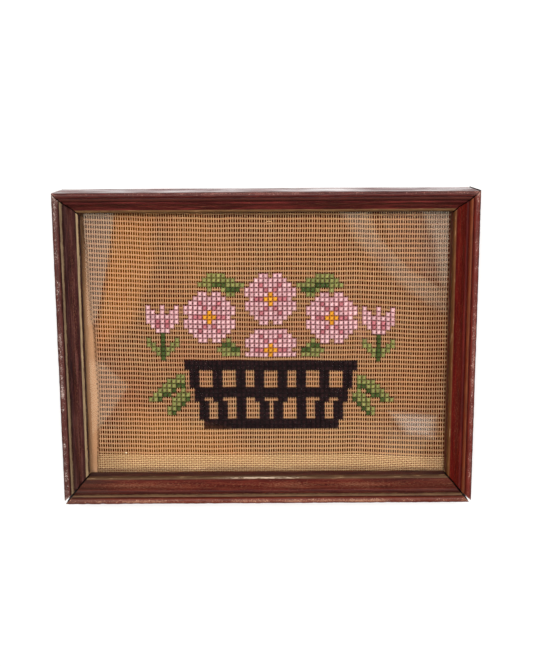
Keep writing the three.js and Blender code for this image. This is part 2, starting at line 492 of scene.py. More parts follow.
def gilt_finish(side, line, bead, bare):
    """Old gold paint on the outer line and on the bead, rubbed through to the wood."""
    look = Surface("gilt_" + side, Roughness=0.55, Specular_IOR_Level=0.2)
    along = look.vector_mark("grain")
    rubbed, inward, soiled, bared = look.marks("rubbed", "inward", "soiled", "bared")
    on_bead = look.fit(inward, 0.6, 0.8)
    tone = look.noise(along, (0.12, 1.2, 1.2), 4, 0.6)
    look.base = look.blend(on_bead, linear(line), linear(bead))
    look.paint_where((64, 36, 26), tone, 0.35, 0.6, 0.5, 0)
    # painted glints: pale flecks on the bead
    glints = look.times(look.fit(tone, 0.6, 0.72, 0, 0.7), on_bead)
    look.paint((204, 166, 126), glints)
    rubs = look.noise(along, (0.3, 1.6, 1.6), 4, 0.7)
    rubs = look.plus(rubs, look.times(rubbed, 0.5))
    gone = look.fit(rubs, 0.66, 0.82)
    look.paint(bare, gone)
    look.paint((232, 206, 180), look.times(bared, look.fit(rubs, 0.4, 0.5)))
    # painted shade in the grooves and on the wall
    look.paint(SHADE_TONE, soiled, SHADE_SHARE)
    look.set("Metallic", look.fit(gone, 0, 1, 0.3, 0.0))
    return look.finish(rubs, 0.08, 0.5)


def raw_wood_finish(name, dark, middle, pale):
    """Unstained wood: on the back, in the rebate and, darkened by glue, at the mitres."""
    look = Surface(name, Roughness=0.9, Specular_IOR_Level=0.08)
    along = look.vector_mark("grain")
    grain = look.noise(along, (0.04, 1.6, 1.6), 5, 0.65)
    stain = look.noise(along, (0.03, 0.12, 0.12), 3, 0.6)
    look.stops(grain, (0.3, dark), (0.55, middle), (0.8, pale))
    look.paint_where(dark, stain, 0.5, 0.75, 0, 0.7)
    return look.finish(grain, 0.15, 0.5)


def canvas_finish():
    """Cotton canvas thread, yellowed, with painted shade browning its sides, and greyed where
    painted haze stands in for the glass's reflections.
    """
    look = Surface("canvas_thread", Roughness=0.9, Specular_IOR_Level=0.08)
    place = look.place()
    strand = look.vector_mark("strand")
    tone, soiled, covered, crossing, close, haze = look.marks(
        "tone", "soiled", "covered", "crossing", "close", "faded")
    clouds = look.noise(place, 18, 3, 0.55)
    look.stops(clouds, (0.32, (218, 174, 138)), (0.5, (224, 192, 152)), (0.68, (226, 186, 142)))
    look.paint_where((208, 156, 104), tone, -1, 1, 0, 0.4)
    look.paint((236, 214, 172), close, 0.75)
    look.paint_where((240, 206, 158), look.part(place, "Y"), -30 * MM, -48 * MM, 0, 0.5)
    # painted reflection: haze from the glass greys the thread
    look.paint((190, 170, 148), haze)
    fibres = look.noise(strand, (2.2, 5, 0), 3, 0.6)
    look.paint_where((180, 118, 72), fibres, 0.35, 0.7, 0, 0.3)
    # painted shade browns the threads' sides, and darkens the parts that wool covers
    shaded_flank = look.fit(look.part(strand, "Z"), 0.96, 0.4)
    look.paint((122, 42, 2), shaded_flank, 0.95)
    # crossing is 0 or 1 where a weft crosses a warp in the light, and a half where it lies low and
    # painted shade darkens it
    from_low = look.math("ABSOLUTE", look.math("SUBTRACT", crossing, 0.5))
    look.paint_where((132, 56, 12), from_low, 0.42, 0.05, 0, 0.5)
    # darker towards the cut edge, and painted shade near the lower and right rails
    look.paint((74, 40, 24), soiled, SHADE_SHARE)
    # painted shade under the stitches, darkest under the dark brown wool
    look.paint_where((92, 46, 44), covered, 0, 0.5)
    look.paint_where((20, 10, 12), covered, 0.5, 1)
    # one white speck of lint
    apart = look.length(place, LINT_PLACE)
    look.paint_where((246, 240, 214), apart, 0.45 * MM, 0.3 * MM)
    return look.finish(fibres, 0.06, 0.6)


def wool_finish(name, bright, shaded):
    """Wool yarn, with painted light and shade: lighter where it crowns and on its upper side,
    darker towards the holes.
    """
    look = Surface(
        name, Roughness=0.9, Specular_IOR_Level=0.1, Sheen_Weight=0.1, Sheen_Tint=linear(bright))
    strand = look.vector_mark("strand")
    tone, crown = look.marks("tone", "crown")
    upper = look.fit(look.part(strand, "Z"), 0.0, 0.9)
    lit = look.times(look.fit(crown, 0.35, 1.0), upper)
    look.base = look.blend(lit, linear(shaded), linear(bright))
    look.paint_where(shaded, tone, -1, 1, 0, 0.3)
    fibres = look.noise(strand, (1.6, 7, 0), 4, 0.65)
    look.paint_where(shaded, fibres, 0.45, 0.75, 0, 0.4)
    return look.finish(fibres, 0.1, 0.7)


def card_finish():
    """Peach card, with painted shade where the canvas lies over it and painted shadow along the
    left rail.
    """
    look = Surface("card", Roughness=0.9, Specular_IOR_Level=0.1)
    place = look.place()
    browned, shaded = look.marks("browned", "shaded")
    pulp = look.noise(place, 900, 4, 0.6)
    clouds = look.noise(place, 25, 3, 0.5)
    look.stops(clouds, (0.35, (170, 124, 94)), (0.65, (182, 136, 106)))
    look.paint_where((152, 106, 78), pulp, 0.4, 0.7, 0, 0.3)
    # painted shadow of the left rail
    look.paint((70, 40, 26), shaded)
    look.paint_where((62, 12, 0), browned, 0, 0.5)
    look.paint_where((10, 8, 12), browned, 0.5, 1)
    return look.finish(pulp, 0.05, 0.5)


def glass_finish():
    """Window glass that lets the lamps through to the canvas."""
    tone = linear((250, 252, 248))
    look = Surface("glass", Base_Color=tone, Roughness=0.02, Transmission_Weight=1.0, IOR=1.5)
    look.bump(look.noise(look.place(), 14, 1, 0.5), 0.02, 0.25)
    clear = look.node("BsdfTransparent", {"Color": linear((244, 247, 243))})
    look.output(look.node("MixShader", {
        0: look.node("LightPath").outputs["Is Shadow Ray"],
        1: look.shader.outputs["BSDF"],
        2: clear.outputs["BSDF"],
    }))
    return look.material


# ---- Rails ----

POLISHED, GILT, RAW, GLUED = range(4)

# Places on the moulding. A drop is measured down from the frame's front.
LIP_END = (2.7, 2.2)  # inset and drop
GROOVES = ((2.8, 0.22), (5.0, 0.5))  # inset and half width
LINE_END = 7  # inset, between the gilt line and the gilt bead
COVE_MIDDLE = (7.2, 1.2)
COVE_FOOT = (9.3, 0.8)
BEAD_INSET = 9  # from here inwards lie the bead and the wall
BEAD_CREST = 10.2
BEAD_FOOT_DROP = 12.4  # where the bead ends and the wall begins

LIP_GAP = 0.12  # share of a joint's widening that is left inside the lip
STATION = 1.0  # between rings of points along a rail
CREASE = 38  # degrees past which a rail's edges stay crisp


def moulding(wall):
    """The rail's section, whose x is the inset and y the height above the frame's back, and the
    finish of each of its sides. The wall is the stretch below the bead, down to the glass."""
    # each stretch's finish and steps, and its end or the control and end of a curve, as drops
    stretches = (
        (POLISHED, 9, (0, 1.4)),
        (POLISHED, 6, (0, 0), (1.2, 0)),
        (POLISHED, 5, (2.4, 0.05), (LIP_WIDTH, 1.1)),
        (POLISHED, 1, (2.65, 1.9)),
        (POLISHED, 1, (2.9, 1.9)),
        (GILT, 1, (2.95, 1.5)),
        (GILT, 5, (3.7, 1.5), (4.45, 2.45)),
        (POLISHED, 1, (4.7, 4.1)),
        (POLISHED, 1, (5.25, 4.4)),
        (POLISHED, 1, (5.55, 4.45)),
        (POLISHED, 1, (5.9, 4.8)),
        (POLISHED, 12, (6.9, 8.9), (9.4, 10.7)),
        (POLISHED, 1, (9.5, 10.95)),
        (GILT, 6, (10.7, 10.85), (SIGHT_INSET, BEAD_FOOT_DROP)),
        (wall, 8, (SIGHT_INSET, REBATE_DROP)),
        (RAW, 2, (REBATE_INSET, REBATE_DROP)),
        (RAW, 4, (REBATE_INSET, FRAME_DEPTH)),
        (RAW, 3, (0, FRAME_DEPTH)),
    )
    points, finishes = [np.zeros(2)], []
    for finish, steps, *ends in stretches:
        start = points[-1]
        *control, end = (np.array((x, FRAME_DEPTH - drop)) for x, drop in ends)
        for step in range(1, steps + 1):
            t = step / steps
            if control:
                bent = 2 * t * (1 - t) * control[0]
                points.append((1 - t) ** 2 * start + bent + t * t * end)
            else:
                points.append(start + (end - start) * step / steps)
        finishes += [finish] * steps
    return np.array(points[:-1]), np.array(finishes)


@dataclass
class Wear:
    """How a rail has aged, and where painted shade darkens it. What has no measure below is a
    share, from 0 to about 1.
    """

    scuffed: float
    scuffed_at: float  # the inset of the lip's worst scuffs
    chips: int  # nicks in the lip's arris
    bead_gilt_to: float  # the inset at which the bead's gilding ends
    bead_rubbed: float = 0
    line_rubbed: float = 0
    hollow_shade: float = 0  # painted shade in the grooves and at the cove's foot
    # painted shade on the wall below the bead
    wall_shade: float = 0
    arris_shade: float = 0  # painted shade along the outer arris
    dust: float = 0  # in the cove
    grime: float = 0  # near the mitres
    swollen: float = 0  # millimetres that the lip has swollen
    broader: float = 0  # millimetres that the face is broader than the other rails'
    scratched: float = 0  # half way along the bead


def rail_marks(along, length, to_mitre, across, drop, lip, wear, seed):
    """What has settled on a rail, where painted shade darkens it, and what has been rubbed off it,
    as marks for its finishes.
    """
    # painted shade darkens the grooves, the wall, the side under the lip's arris, the arris itself
    # and the cove's foot above the bead
    groove = sum(hump(across, *place) for place in GROOVES) * (drop < 6)
    other = wear.wall_shade * smoothstep(drop, 12.2, 13.5) * (across > BEAD_INSET)
    other += 0.6 * (across < 0.3) * smoothstep(drop, 0.7, 1.0) * fading(drop - 1, 1.5)
    other += wear.arris_shade * hump(across, 0, 0.45) * (drop < 2)
    other += 0.7 * wear.hollow_shade ** 3 * hump(across, *COVE_FOOT) * (drop < 11)
    dusty = wear.dust * hump(across, *COVE_MIDDLE) * (1 + 0.6 * drift(along, seed + 6, 18))
    grimy = wear.grime * np.exp(-to_mitre / 22) * (0.8 + 0.5 * drift(along, seed + 8, 11))
    off_crest = (across - BEAD_CREST) / 0.4
    scratch = np.exp(-((along - length / 2 + 2) / 20) ** 4 - off_crest ** 2)
    # the gilding is rubbed off high points, and ends where the bead turns down into the wall
    on_line = across < LINE_END
    thin = 0.25 * drift(along, seed + 4, 14) + 0.5 * (across < 3.1)
    thin += 0.6 * on_line * smoothstep(across, 3.8, 4.1)
    rubbed = np.where(on_line, wear.line_rubbed, wear.bead_rubbed) + thin
    round_bead = across + np.clip(drop - BEAD_FOOT_DROP, 0, None)
    gilt_to = wear.bead_gilt_to
    rubbed += 0.9 * smoothstep(round_bead, gilt_to, gilt_to + 0.6) * (across > BEAD_INSET)
    return {
        "lip": lip * 1.0,
        "side": ((across < 0.05) & (drop > 1.3)) * 1.0,
        "dusty": dusty,
        "grimy": np.clip(grimy, 0, 1),
        "bared": wear.scratched * scratch * (drop < BEAD_FOOT_DROP),
        "soiled": np.clip(wear.hollow_shade * groove + other, 0, 1),
        "rubbed": rubbed,
        "inward": across / SIGHT_INSET,
    }


def make_rail(name, length, start, end, quarter_turns, place, materials, wear, seed):
    """A mitred rail. Its outer side lies on y = 0 before it is turned and placed."""
    section, finishes = moulding(GILT if wear.bead_gilt_to > SIGHT_INSET else POLISHED)
    inset, height = section.T
    stations = int(length / STATION)

    def shortfall(mitre):
        outer, inner = MITRES[mitre]
        gaps = (outer, inner + LIP_GAP * (outer - inner), inner)
        return np.interp(inset, (0, LIP_WIDTH, SIGHT_INSET), gaps) / math.sqrt(2)

    outward = wear.swollen * np.clip(1 - inset / LIP_WIDTH, 0, 1)
    face = (height > FRAME_DEPTH - REBATE_DROP + 0.01) | (inset > REBATE_INSET + 0.01)
    above_wall = smoothstep(height, FRAME_DEPTH - 14, FRAME_DEPTH - 12.6)
    outward -= wear.broader * smoothstep(inset, 0.5, 2.4) * face * above_wall
    first = inset - outward + shortfall(start)
    last = length - inset + outward - shortfall(end)
    along = first + (last - first) * np.linspace(0, 1, stations + 1)[:, None]
    across = np.broadcast_to(inset, along.shape).copy()
    high = np.broadcast_to(height, along.shape).copy()
    drop = FRAME_DEPTH - high

    # the lip has gone soft and uneven, most at its outer arris
    arris = np.exp(-((across - 0.25) ** 2 + (drop - 0.35) ** 2) / 0.7)
    lip = (across < LIP_END[0]) & (drop < LIP_END[1])
    wave = drift(along, seed, 9) * 0.06 + drift(along, seed + 1, 1.7) * 0.09
    across += np.where(lip, arris * (0.10 + wave), 0)
    sunk = 0.03 * (1 + drift(along, seed + 2, 15))
    high -= np.where(lip, arris * (0.12 + wave) + sunk, 0)
    worn = 0.45 + 0.3 * drift(along, seed + 7, 40) + 0.3 * drift(along, seed + 3, 9)
    worn = np.clip(worn + 0.2 * drift(along, seed + 5, 2.3), 0, 1)
    worn = np.where(lip, worn * hump(across, wear.scuffed_at, 0.8), 0) * wear.scuffed
    random = np.random.default_rng(seed)
    for _ in range(wear.chips):
        centre = random.uniform(6, length - 6)
        size = random.uniform(0.5, 1.3)
        depth = random.uniform(0.05, 0.35)
        nick = hump(along, centre, size)
        across += nick * arris * lip * depth
        high -= nick * arris * lip * depth
        worn += nick * hump(across, wear.scuffed_at, 0.6) * lip * 0.2
    # the tips of the mitres are knocked and pale
    to_mitre = np.minimum(along - first, last - along)
    tip = np.exp(-to_mitre / 1.6) * lip * (0.4 + 0.6 * arris)
    high -= tip * 0.25

    turn = Matrix.Rotation(quarter_turns * math.pi / 2, 3, "Z")
    points = triples(along - length / 2, across - outward, high)
    points = points @ np.array(turn).T + np.array((*place, 0))
    marks = rail_marks(along, length, to_mitre, across, drop, lip, wear, seed)
    rail = make_piece(
        name, points, tube_faces(stations + 1, len(section), inward=True), materials,
        finishes=np.concatenate([np.tile(finishes, stations), [GLUED, GLUED]]), sharp=CREASE,
        grain=triples(along + seed * 37, along_path(section), 0),
        worn=np.clip(worn + tip * 0.9, 0, 1).ravel(),
        **{key: values.ravel() for key, values in marks.items()},
    )
    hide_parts(name)


# Each rail's side, the corners it runs between, its quarter turns and seed, the colours that its
# two finishes take, and its wear. The colours differ partly as painted light, for how the lamps
# and reflections fall on each side, and hands have worn each rail in its own way.
RAILS = (
    ("bottom", "bottom_left", "bottom_right", 0, 11,
     ((70, 15, 10), (108, 32, 22), (134, 64, 46), (120, 44, 24), (206, 152, 120)),
     ((112, 82, 56), (108, 78, 54), (58, 26, 18)),
     Wear(scuffed=1.0, scuffed_at=1.3, chips=18, bead_gilt_to=11.0, bead_rubbed=0.1, hollow_shade=0.7,
          wall_shade=0.4, arris_shade=0.6, dust=1.0, grime=1.0, swollen=0.8, scratched=0.9)),
    ("right", "bottom_right", "top_right", 1, 23,
     ((72, 6, 4), (106, 12, 8), (132, 34, 20), (112, 34, 22), (212, 166, 150)),
     ((136, 70, 40), (122, 74, 38), (112, 34, 8)),
     Wear(scuffed=0.7, scuffed_at=1.1, chips=26, bead_gilt_to=12.4, bead_rubbed=0.1,
          line_rubbed=0.1, hollow_shade=0.5, arris_shade=0.8, dust=0.45, swollen=0.8)),
    ("top", "top_right", "top_left", 2, 37,
     ((62, 16, 16), (98, 32, 32), (146, 58, 52), (76, 22, 18), (196, 136, 124)),
     ((104, 50, 42), (132, 96, 60), (58, 24, 18)),
     Wear(scuffed=0.7, scuffed_at=0.5, chips=22, bead_gilt_to=10.8, bead_rubbed=0.1,
          line_rubbed=0.1, wall_shade=0.5, dust=0.3, grime=0.4, swollen=0.2)),
    ("left", "top_left", "bottom_left", 3, 41,
     ((38, 4, 6), (82, 30, 30), (124, 76, 70), (88, 34, 28), (220, 200, 190)),
     ((146, 122, 92), (188, 160, 122), (58, 24, 18)),
     Wear(scuffed=1.15, scuffed_at=1.3, chips=24, bead_gilt_to=10.35, line_rubbed=0.1, hollow_shade=0.9,
          wall_shade=0.25, arris_shade=0.5, dust=0.5, grime=0.5, swollen=0.1, broader=0.75)),
)


def make_rails():
    raw = raw_wood_finish("raw_wood", (86, 48, 32), (140, 98, 66), (164, 122, 86))
    glued = raw_wood_finish("glued_wood", (18, 8, 6), (40, 20, 13), (66, 38, 25))
    for side, start, end, turns, seed, lit_woods, lit_golds, wear in RAILS:
        length, reach = (FRAME_HEIGHT, FRAME_WIDTH) if turns % 2 else (FRAME_WIDTH, FRAME_HEIGHT)
        away = (1 if turns in (1, 2) else -1) * reach / 2
        place = (away, 0) if turns % 2 else (0, away)
        # a rail's woods and golds are partly painted light: their tones, lip and bead stand in for
        # how the lamps fall on that side
        materials = [mahogany_finish(side, *lit_woods), gilt_finish(side, *lit_golds), raw, glued]
        make_rail("rail_" + side, length, start, end, turns, place, materials, wear, seed)


# ---- Canvas ----

WARP_SPREAD = 0.59  # half the distance between the two warps of a mesh
WEFT_SPREAD = 0.25  # half the distance between its two wefts
WARP_SIZE = (0.235, 0.25)  # half width and half height of a thread
WEFT_SIZE = (0.255, 0.33)
WARP_CRIMP = 0.15  # how far a thread swings over and under
WEFT_CRIMP = 0.22
SELVEDGE_ROW = 40  # from this row down the wefts lie close together
SELVEDGE_PITCH = 1.05
SELVEDGE_GAP = 1.3  # from the last pair's lower weft to the first close one
SELVEDGE_HALF_WIDTH = 0.45
THREAD_SIDES = 5
WEFT_SHORT = 0.1  # of the canvas's right edge
WARP_PROUD = 0.1  # of its top edge
CUT_CLEARANCE = 0.2  # from the canvas's cut edge to the nearest crossing
SNAG_PLACE = (0.1, 65.6)
SNAG_LENGTH = 3.4
SNAG_RISE = 0.7
STITCH_SIDES = 10
FEWEST_RINGS = 3  # a shorter thread is left out


def pulled(x, y):
    """Where a point of the even canvas grid really lies. The rows run downhill to the right, but
    level out near the bottom. They lift towards the cut edge and sag towards the right one."""
    x = np.asarray(x, float)
    y = np.asarray(y, float)
    downhill = 0.010 * smoothstep(y, -62, -5)
    lift = 1.3 * hump(x, -97, 27) * (0.6 + 0.6 * smoothstep(y, -20, 50))
    sags = 0.2 + hump(y, 15, 18) + 1.3 * hump(y, -66, 20)
    sag = 1.3 * smoothstep(x, 50, 92) * sags
    ripple = 0.16 * drift(x + 0.4 * y, 5, 21) + 0.12 * drift(x, 6, 8)
    sway = 0.18 * drift(y + 0.3 * x, 7, 19) + 0.10 * drift(y, 8, 7)
    return x + sway, y - downhill * x + lift - sag + ripple


def cut_edge(y):
    """The x at which the canvas ends on its left, at height y."""
    return np.interp(y, *LEFT_CUT.T)


def in_pairs(first, last, origin, step, spread):
    """Pairs of threads, spread apart by as much to either side of the middle of each cell."""
    middles = origin + step * (np.arange(first, last) + 0.5)
    return np.sort(np.concatenate([middles - spread, middles + spread]))


def warp_places():
    first = math.floor((cut_edge(CANVAS_REACH) - DESIGN_LEFT) / MESH)
    last = math.ceil((CANVAS_RIGHT - DESIGN_LEFT) / MESH)
    places = in_pairs(first, last, DESIGN_LEFT, MESH, WARP_SPREAD)
    return places[places < CANVAS_RIGHT - WARP_SIZE[0]]


def weft_places():
    """The wefts from the top down: pairs, then the close ones of the selvedge."""
    first = math.floor((DESIGN_TOP - CANVAS_REACH) / MESH)
    pairs = in_pairs(first, SELVEDGE_ROW, DESIGN_TOP, -MESH, WEFT_SPREAD)[::-1]
    close = np.arange(pairs[-1] - SELVEDGE_GAP, -CANVAS_REACH - 6, -SELVEDGE_PITCH)
    places = np.concatenate([pairs, close])
    return places[places < CANVAS_REACH - WEFT_SIZE[0]]


def most(*shares):
    return np.max(np.broadcast_arrays(*shares), axis=0)


def faded(x, y):
    """How much painted haze greys the canvas, standing in for the glass's reflections: most at its
    upper left, along a streak, and in patches along its right.
    """
    slant = -88 + 0.165 * (y - 27) - x
    upper_left = 0.75 * smoothstep(slant, -1.5, 1.5) * smoothstep(y, -12, 25)
    left = 0.5 * smoothstep(-80 - x, -6, 6) * smoothstep(-y, 2, 12) * smoothstep(y, -60, -40)
    corner = smoothstep(x, 76, 92) * smoothstep(y, 5, 50)
    # painted haze along the streak that the glass mirrors
    glare_streak = 0.8 * hump(y, np.interp(x, (45, 52, 63, 76, 95), (74, 60, 47, 36, 22)), 6)
    glare_streak *= smoothstep(x, 38, 46)
    low_right = np.exp(-((x - 81) / 13) ** 2 - ((y + 45) / 8) ** 2)
    return most(upper_left, left, corner, glare_streak, low_right, 0.1 * smoothstep(x, 55, 85))


def rail_shade(x, y):
    """How much painted shade the rails cast on the canvas: a line of it along the lower rail and
    the right one, and a little near them."""
    low = (0.55 + 0.25 * smoothstep(-x, 50, 85)) * fading(y + 71.0 - 0.6 * drift(x, 16, 12), 0.8)
    right = 0.75 * fading(98.0 - x + 0.5 * drift(y, 17, 14), 1.8)
    low_left = 0.3 * smoothstep(-x, 70, 92) * smoothstep(-y, 50, 62)
    return most(low, right, low_left, 0.3 * smoothstep(x, 80, 94))


def is_close(weft):
    """Whether a weft, by its number from the top, is one of the selvedge's."""
    return weft_places()[weft] < DESIGN_TOP - (SELVEDGE_ROW - 0.5) * MESH - WEFT_SPREAD - 0.1


def over(warp, weft):
    """1 where this weft passes over this warp, and -1 where it passes under."""
    return 1 - 2 * ((np.asarray(warp) + np.asarray(weft)) % 2)


def shade_under_wool(cells, x, y):
    """How much painted shade the wool over a point of the canvas lays on its threads: 0 where there
    is none.
    """
    shares = np.zeros((DESIGN_ROWS + 2, DESIGN_COLUMNS + 2))
    for (column, row), letter in cells.items():
        shares[row + 1, column + 1] = 1.0 if letter == "B" else 0.5
    columns = np.floor((x - DESIGN_LEFT) / MESH).astype(int) + 1
    rows = np.floor((DESIGN_TOP - y) / MESH).astype(int) + 1
    return shares[np.clip(rows, 0, DESIGN_ROWS + 1), np.clip(columns, 0, DESIGN_COLUMNS + 1)]


def lay_thread(tubes, cells, x, y, placed, swing, *sizes_and_kept, frayed=1, **marks):
    """Add the thread that runs through x, y of the even grid, at the places where those lie. Its
    end at the canvas's cut edge is as brown as frayed. The stretched canvas isn't quite flat."""
    billow = 0.04 * drift(x + y, 9, 30) + 0.03 * drift(x - y, 10, 23)
    # soiled darkens the thread towards the cut edge, and holds the painted shade near the lower and
    # right rails
    tubes.add(
        (*placed, WEAVE_MIDDLE + swing + billow), *sizes_and_kept,
        faded=faded(x, y), covered=shade_under_wool(cells, x, y),
        soiled=most(frayed * fading(x - cut_edge(y), 0.8), rail_shade(*placed)), **marks,
    )


def weave_wefts(material, cells):
    tubes = Tubes(THREAD_SIDES)
    random = np.random.default_rng(3)
    warps = warp_places()
    for index, y in enumerate(weft_places()):
        close = bool(is_close(index))
        edge = float(cut_edge(y))
        crossed = np.flatnonzero(warps > edge + CUT_CLEARANCE)
        end = edge - random.uniform(0.1, 0.55)
        x = np.r_[end, warps[crossed], CANVAS_RIGHT - WEFT_SHORT]
        y = np.full_like(x, y)
        side = np.pad(over(crossed, index), 1)
        # painted shade darkens a weft of the open mesh between two warps, and one of the selvedge
        # below them
        sunk = 0.25 * (1 - side) if close else np.arange(len(x)) % 2
        placed_x, placed_y = pulled(x, y)
        placed_y = placed_y + random.uniform(-0.05, 0.05, len(x))
        thick = random.uniform(0.94, 1.06) * (1 + 0.05 * drift(x, 100 + index, 3))
        half_width = SELVEDGE_HALF_WIDTH if close else WEFT_SIZE[0]
        tone = random.uniform(-1, 1) * 0.6 + 0.5 * drift(x, 300 + index, 6)
        # a thread ends where the canvas's lower edge cuts across it
        stop = int(np.argmax(placed_y < -CANVAS_REACH)) or len(x)
        if stop < FEWEST_RINGS:
            continue
        lay_thread(
            tubes, cells, x, y, (placed_x, placed_y), side * WEFT_CRIMP,
            half_width * thick * (1 + 0.06 * side), WEFT_SIZE[1] * thick, slice(0, stop),
            tone=tone, crossing=sunk, close=close,
        )
    return tubes.piece("canvas_wefts", material)


def weave_warps(name, places, first_index, material, cells):
    tubes = Tubes(THREAD_SIDES)
    random = np.random.default_rng(4 + first_index)
    wefts = weft_places()
    close_from = wefts[int(np.argmax(is_close(np.arange(len(wefts)))))]
    # a ring at each weft, and one midway where the threads leave a hole
    gaps = np.flatnonzero(-np.diff(wefts) > MESH / 2)
    rows = np.r_[wefts, (wefts[gaps] + wefts[gaps + 1]) / 2]
    crossed = np.r_[np.arange(len(wefts)), np.full(len(gaps), -1)]
    order = np.argsort(-rows)
    rows, crossed = rows[order], crossed[order]
    all_y = np.r_[CANVAS_REACH + WARP_PROUD, rows, rows[-1] - 0.4]
    for index, warp_x in enumerate(places, first_index):
        swing = np.where(crossed < 0, 0, -over(index, crossed) * WARP_CRIMP)
        swing = np.where((crossed >= 0) & is_close(crossed), 0.3 * swing - 0.12, swing)
        swing = np.pad(swing, 1)
        inside = warp_x > cut_edge(all_y) + CUT_CLEARANCE
        thick = random.uniform(0.93, 1.07)
        tone = random.uniform(-1, 1) * 0.6
        starts = np.flatnonzero(inside & ~np.pad(inside, 1)[:-2])
        stops = np.flatnonzero(inside & ~np.pad(inside, 1)[2:])
        for start, stop in zip(starts, stops):
            if stop - start < FEWEST_RINGS:
                continue
            run = slice(start, stop + 1)
            y = all_y[run]
            x = np.full_like(y, warp_x)
            placed_x, placed_y = pulled(x, y)
            placed_x = placed_x + random.uniform(-0.06, 0.06, len(x))
            kept = np.abs(placed_y) < CANVAS_REACH + 0.4
            if kept.sum() < FEWEST_RINGS:
                continue
            lay_thread(
                tubes, cells, x, y, (placed_x, placed_y), swing[run],
                WARP_SIZE[0] * thick * (1 + 0.04 * drift(y, 500 + index, 3)),
                WARP_SIZE[1] * thick, kept, frayed=0.7, tone=tone + 0.5 * drift(y, 700 + index, 6),
                close=smoothstep(-y, -close_from - 1, -close_from),
            )
    return tubes.piece(name, material)


def pull_thread(material):
    """One weft near the top, snagged out of the weave."""
    tubes = Tubes(THREAD_SIDES)
    share = np.linspace(0, 1, 9)
    bow = SNAG_RISE * np.sin(math.pi * share)
    x, y = SNAG_PLACE
    line = (x + SNAG_LENGTH * share, y + bow, WEAVE_MIDDLE + 0.1 + bow)
    tubes.add(line, 0.26, 0.24, tone=-1.0, crossing=0.0)
    return tubes.piece("canvas_snag", material)


# ---- Stitches ----


def charted_cells():
    """The letter of every stitched cell. A motif that is stamped later lies behind the earlier
    ones and leaves one bare cell around them."""
    cells = {}

    def stamp(motif, left, top, mirrored=False):
        fresh = {}
        for row, letters in enumerate(motif, top):
            for column, letter in enumerate(letters, left):
                if mirrored:
                    column = DESIGN_COLUMNS - 1 - column
                beside = ((0, 0), (-1, 0), (1, 0), (0, -1), (0, 1))
                is_free = not any((column + x, row + y) in cells for x, y in beside)
                if letter != "." and is_free:
                    fresh[column, row] = letter
        cells.update(fresh)

    def stamp_pair(motif, left, top):
        stamp(motif, left, top)
        stamp(motif, left, top, mirrored=True)

    def weave_basket():
        middle = (DESIGN_COLUMNS - 1) / 2
        for row in range(BASKET_TOP, DESIGN_ROWS):
            rise = (row - BASKET_TOP) / (DESIGN_ROWS - 1 - BASKET_TOP)
            half = round(BASKET_HALF_TOP + (BASKET_HALF_BASE - BASKET_HALF_TOP) * rise)
            edges = [round(share * half) for share in BASKET_STAVES]
            for column in range(DESIGN_COLUMNS):
                out = abs(column - middle)
                on_stave = any(edge - BASKET_STAVE_WIDTH < out <= edge for edge in edges)
                if out <= half and (row in BASKET_SOLID_ROWS or on_stave):
                    cells.setdefault((column, row), "B")

    stamp(ROSE, 21, 0)
    weave_basket()
    stamp_pair(ROSE, 8, 4)
    stamp(ROSE, 21, 11)
    stamp_pair(LEAF_PAIR, 11, 0)
    stamp_pair(LOW_LEAF, 15, 13)
    stamp_pair(TULIP, 0, 7)
    stamp_pair(SPRAY, 0, 22)
    return cells


LEG_STEPS = np.array([0.03, 0.12, 0.27, 0.5, 0.73, 0.88, 0.97])
LEG_HALF_WIDTH = (0.26, 0.80)  # at the holes and at the crown
LEG_HALF_HEIGHT = (0.24, 0.44)
LEG_INSET = (0.16, 0.05)  # of its ends from the cell's left and right, and top and bottom
UNDER_CROWN = 0.84  # level of a leg's middle above the weave's, at its crown
UPPER_CROWN = 1.04
LEG_ROOT = -0.25


def work_stitches(cells, letter, name, material, seed):
    """All the cross stitches of one colour."""
    tubes = Tubes(STITCH_SIDES)
    random = np.random.default_rng(seed)
    arch = np.sin(math.pi * LEG_STEPS)
    for (column, row), own in sorted(cells.items()):
        if own != letter:
            continue
        left = DESIGN_LEFT + column * MESH + LEG_INSET[0]
        right = left + MESH - 2 * LEG_INSET[0]
        top = DESIGN_TOP - row * MESH - LEG_INSET[1]
        bottom = top - MESH + 2 * LEG_INSET[1]
        size = random.uniform(0.93, 1.07)
        tone = random.uniform(-1, 1)
        legs = (
            ((left, top), (right, bottom), UNDER_CROWN),
            ((left, bottom), (right, top), UPPER_CROWN),
        )
        for start, end, crown in legs:
            start = np.array(start) + random.uniform(-0.07, 0.07, 2)
            end = np.array(end) + random.uniform(-0.07, 0.07, 2)
            x, y = pulled(*(start + (end - start) * LEG_STEPS[:, None]).T)
            rise = (crown - LEG_ROOT) * arch * random.uniform(0.97, 1.0)
            tubes.add(
                (x, y, WEAVE_MIDDLE + LEG_ROOT + rise),
                np.interp(arch, (0, 1), LEG_HALF_WIDTH) * size,
                np.interp(arch, (0, 1), LEG_HALF_HEIGHT) * size,
                lobes=0.07, turns=random.uniform(0.35, 0.6), tone=tone, crown=arch,
            )
    return tubes.piece(name, material)


# each wool's letter, name, and the lit and shaded colours that its painted light and shade blend
# between
WOOLS = (
    ("P", "wool_pink", (245, 200, 209), (126, 62, 74)),
    ("R", "wool_rose", (216, 130, 142), (96, 36, 46)),
    ("O", "wool_ochre", (250, 178, 58), (150, 78, 14)),
    ("L", "wool_leaf", (160, 156, 96), (70, 70, 30)),
    ("D", "wool_moss", (84, 100, 52), (30, 42, 18)),
    ("B", "wool_brown", (46, 24, 28), (14, 7, 9)),
)


